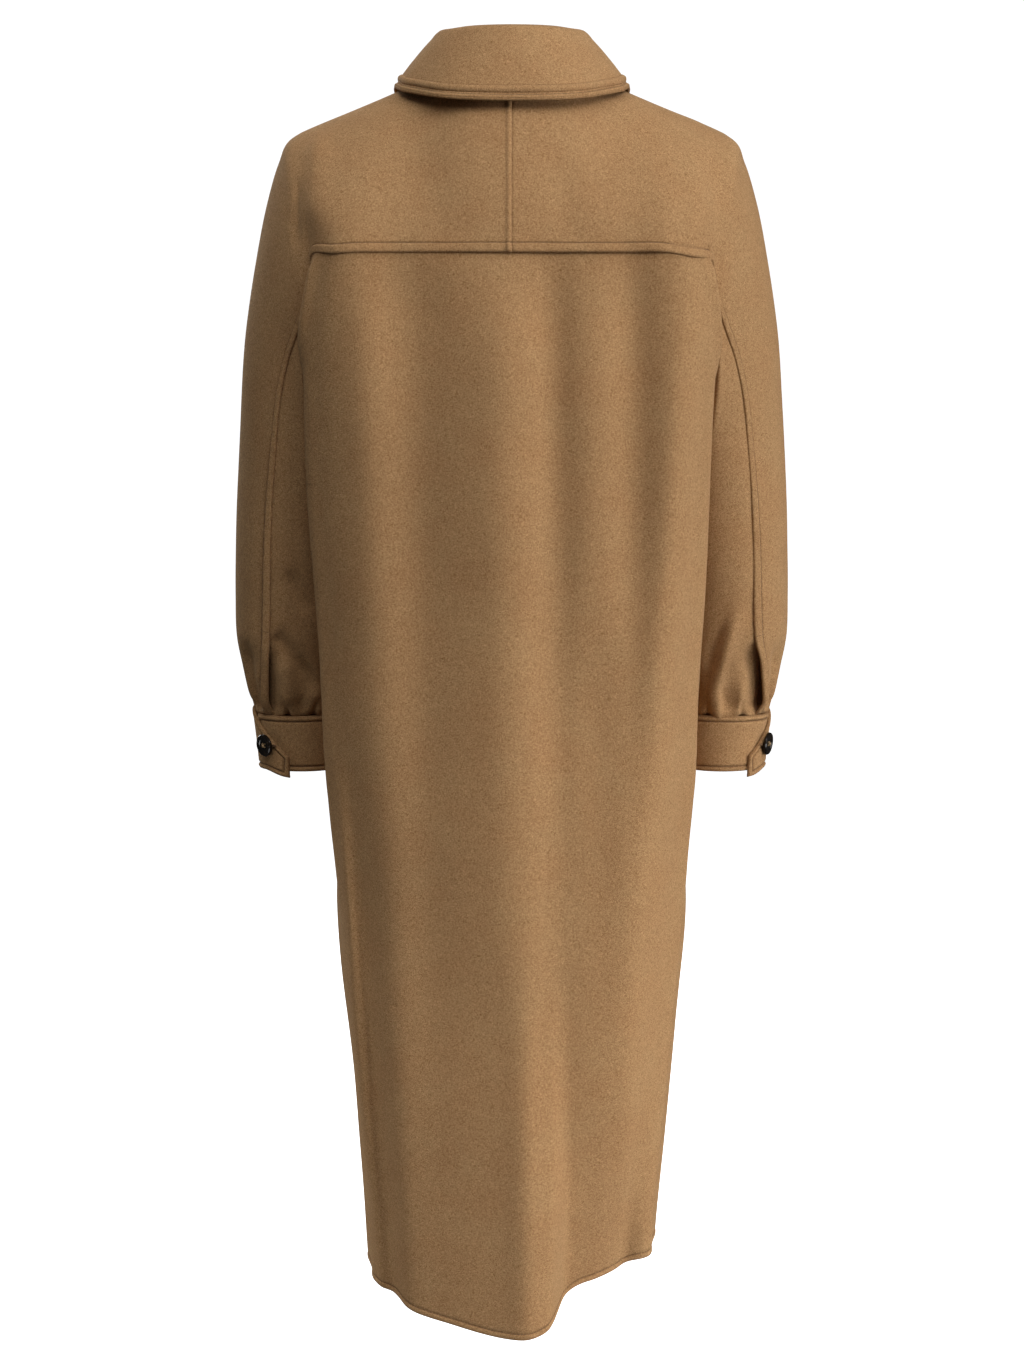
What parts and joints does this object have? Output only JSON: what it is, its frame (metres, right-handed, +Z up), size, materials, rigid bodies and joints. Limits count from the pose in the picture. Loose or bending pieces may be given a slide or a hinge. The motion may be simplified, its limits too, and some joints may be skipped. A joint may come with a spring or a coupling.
{
  "type": "button-up coat",
  "caption": "Long hollow shirt-style wool coat with a pointed collar, back yoke cut in one with the sleeves, buttoned cuffs with a flap and a shirt-tail hem.",
  "frame": {"origin": "the middle of the neck opening, where the wearer holds the coat up", "axes": "+Z up along the coat, -Y towards the front, +X towards the wearer's left"},
  "size_m": [0.557, 0.2761, 1.2734],
  "materials": {
    "camel_wool": "felted wool with a short brushed nap",
    "dark_horn": "polished"
  },
  "bodies": {
    "root": {"back_body": "camel_wool", "front_left": "camel_wool", "front_right": "camel_wool", "yoke_sleeve_left": "camel_wool", "yoke_sleeve_right": "camel_wool", "under_sleeve_left": "camel_wool", "under_sleeve_right": "camel_wool", "cuff_left": "camel_wool", "cuff_right": "camel_wool", "collar_stand": "camel_wool", "collar": "camel_wool", "button_collar": "dark_horn", "button_cuff_left": "dark_horn", "button_cuff_right": "dark_horn", "button_front_1": "dark_horn", "button_front_2": "dark_horn", "button_front_3": "dark_horn", "button_front_4": "dark_horn", "button_front_5": "dark_horn", "button_front_6": "dark_horn", "button_front_7": "dark_horn"}
  },
  "joints": []
}
